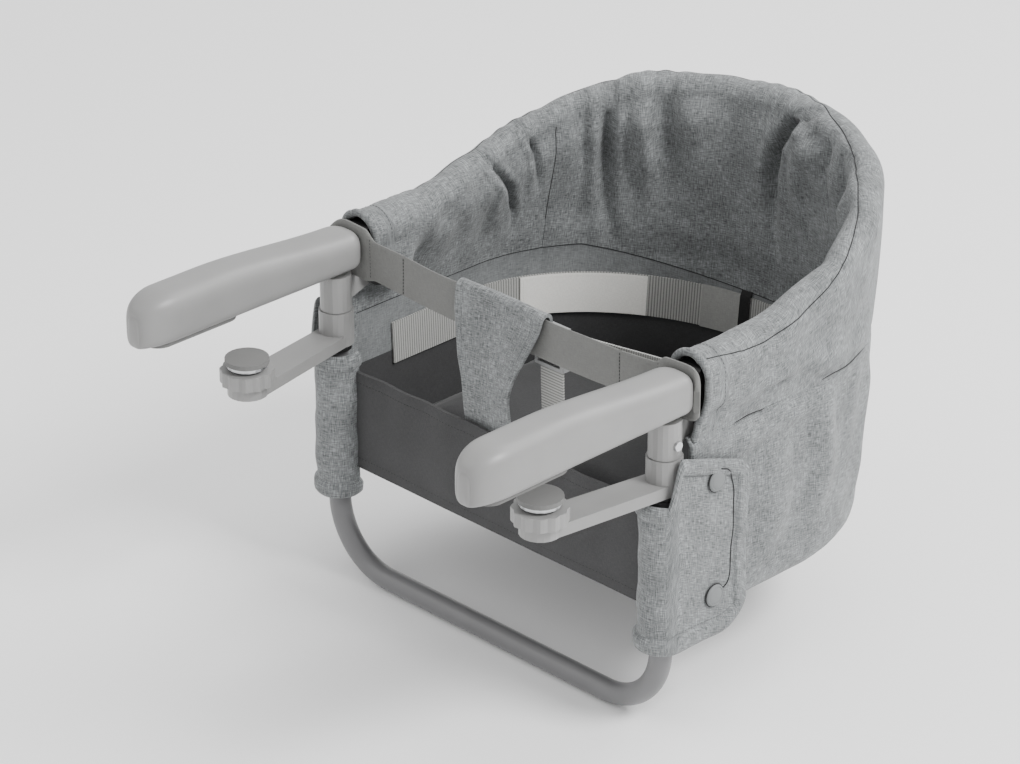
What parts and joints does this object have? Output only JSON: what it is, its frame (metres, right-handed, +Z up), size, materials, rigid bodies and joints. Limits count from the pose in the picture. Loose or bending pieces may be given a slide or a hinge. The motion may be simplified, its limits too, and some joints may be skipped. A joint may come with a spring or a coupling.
{
  "type": "hook-on table chair",
  "caption": "Clamp-on child seat with gripping arms, a folding tubular frame, a padded fabric seat, waist belt and buckle.",
  "frame": {"origin": "on the table top at the edge of the table, in the mid-plane of the chair", "axes": "+X towards the left of the seated child, +Y away from the table, +Z up"},
  "size_m": [0.4248, 0.5855, 0.3985],
  "materials": {
    "arm": "satin",
    "grip": "matte",
    "tube": "satin",
    "black": "satin",
    "steel": "satin",
    "linen": "matte",
    "lining": "matte",
    "band": "matte",
    "webbing": "matte",
    "patch": "matte",
    "buckle": "satin",
    "foam": "matte",
    "board": "matte",
    "stud": "satin"
  },
  "bodies": {
    "upper_frame_and_seat": {"hoop_tube": "tube", "rim_roll": "linen", "side_panel_left": "linen", "side_panel_right": "linen", "back_panel": "linen", "seat_floor": "lining", "front_panel": "lining", "front_band": "band", "crotch_cover": "linen", "waist_belt": "webbing", "belt_patch": "patch", "belt_keeper": "black", "front_belt": "webbing", "buckle_tongue": "buckle", "crotch_strap": "webbing", "arm_cover_left": "arm", "arm_grip_pad_left": "grip", "arm_screw_left": "steel", "joint_housing_left": "black", "fold_pin_left": "steel", "fold_button_spring_left": "steel", "rim_hood_left": "linen", "arm_cover_right": "arm", "arm_grip_pad_right": "grip", "arm_screw_right": "steel", "joint_housing_right": "black", "fold_pin_right": "steel", "fold_button_spring_right": "steel", "rim_hood_right": "linen"},
    "lower_frame": {"lower_tube": "tube", "leg_socket_left": "arm", "leg_rivet_left": "steel", "clamp_collar_left": "black", "side_flap_left": "linen", "press_stud_upper_left": "stud", "press_stud_lower_left": "stud", "leg_socket_right": "arm", "leg_rivet_right": "steel", "clamp_collar_right": "black", "side_flap_right": "linen", "press_stud_upper_right": "stud", "press_stud_lower_right": "stud"},
    "seat_base": {"seat_board": "board", "seat_pad": "foam"},
    "clamp_arm_left": {"clamp_arm_left": "arm"},
    "clamp_knob_left": {"clamp_knob_left": "arm"},
    "clamp_screw_left": {"clamp_stem_left": "steel", "clamp_pad_left": "grip"},
    "fold_button_left": {"fold_button_left": "black"},
    "buckle_prong_left": {"buckle_prong_left": "buckle"},
    "clamp_arm_right": {"clamp_arm_right": "arm"},
    "clamp_knob_right": {"clamp_knob_right": "arm"},
    "clamp_screw_right": {"clamp_stem_right": "steel", "clamp_pad_right": "grip"},
    "fold_button_right": {"fold_button_right": "black"},
    "buckle_prong_right": {"buckle_prong_right": "buckle"},
    "buckle_socket": {"buckle_socket": "buckle"}
  },
  "joints": [
    {"name": "frame_fold", "type": "hinge", "parent": "upper_frame_and_seat", "child": "lower_frame", "pos_m": [0, 0.076, -0.006], "axis": [1, 0, 0], "range_deg": [0, 90], "deforming": ["side_panel_left", "side_panel_right", "back_panel", "seat_floor", "front_panel", "waist_belt", "belt_patch", "belt_keeper", "crotch_strap", "side_flap_left", "side_flap_right"]},
    {"name": "seat_lift", "type": "slide", "parent": "upper_frame_and_seat", "child": "seat_base", "axis": [0, 0, 1], "range_m": [0, 0.156]},
    {"name": "fold_button_press_left", "type": "slide", "parent": "upper_frame_and_seat", "child": "fold_button_left", "axis": [1, 0, 0], "range_m": [0, 0.004], "stiffness_N_per_m": 500, "springref_m": -0.002, "deforming": ["fold_button_spring_left"]},
    {"name": "clamp_swivel_left", "type": "hinge", "parent": "lower_frame", "child": "clamp_arm_left", "pos_m": [0.189, 0.032, -0.05], "axis": [0, 0, -1], "range_deg": [0, 80]},
    {"name": "clamp_knob_turn_left", "type": "hinge", "parent": "clamp_arm_left", "child": "clamp_knob_left", "pos_m": [0.169, -0.086, -0.049], "axis": [0, 0, -1], "range_deg": [0, 720.5]},
    {"name": "clamp_screw_rise_left", "type": "slide", "parent": "clamp_arm_left", "child": "clamp_screw_left", "axis": [0, 0, 1], "range_m": [0, 0.008]},
    {"name": "fold_button_press_right", "type": "slide", "parent": "upper_frame_and_seat", "child": "fold_button_right", "axis": [-1, 0, 0], "range_m": [0, 0.004], "stiffness_N_per_m": 500, "springref_m": -0.002, "deforming": ["fold_button_spring_right"]},
    {"name": "clamp_swivel_right", "type": "hinge", "parent": "lower_frame", "child": "clamp_arm_right", "pos_m": [-0.189, 0.032, -0.05], "axis": [0, 0, 1], "range_deg": [0, 80]},
    {"name": "clamp_knob_turn_right", "type": "hinge", "parent": "clamp_arm_right", "child": "clamp_knob_right", "pos_m": [-0.169, -0.086, -0.049], "axis": [0, 0, -1], "range_deg": [0, 720.5]},
    {"name": "clamp_screw_rise_right", "type": "slide", "parent": "clamp_arm_right", "child": "clamp_screw_right", "axis": [0, 0, 1], "range_m": [0, 0.008]},
    {"name": "buckle_release", "type": "slide", "parent": "upper_frame_and_seat", "child": "buckle_socket", "axis": [0, 0, -1], "range_m": [0, 0.018], "deforming": ["crotch_strap", "buckle_prong_left", "buckle_prong_right"]},
    {"name": "buckle_prong_press_left", "type": "slide", "parent": "upper_frame_and_seat", "child": "buckle_prong_left", "axis": [-1, 0, 0], "range_m": [0, 0.0025], "stiffness_N_per_m": 600, "springref_m": -0.001},
    {"name": "buckle_prong_press_right", "type": "slide", "parent": "upper_frame_and_seat", "child": "buckle_prong_right", "axis": [1, 0, 0], "range_m": [0, 0.0025], "stiffness_N_per_m": 600, "springref_m": -0.001}
  ],
  "couplings": [
    {"joint": "seat_lift", "follows": "frame_fold", "m_per_rad": 0.0993},
    {"joint": "clamp_knob_turn_left", "follows": "clamp_screw_rise_left", "rad_per_m": 1570.8},
    {"joint": "clamp_knob_turn_right", "follows": "clamp_screw_rise_right", "rad_per_m": 1570.8}
  ]
}
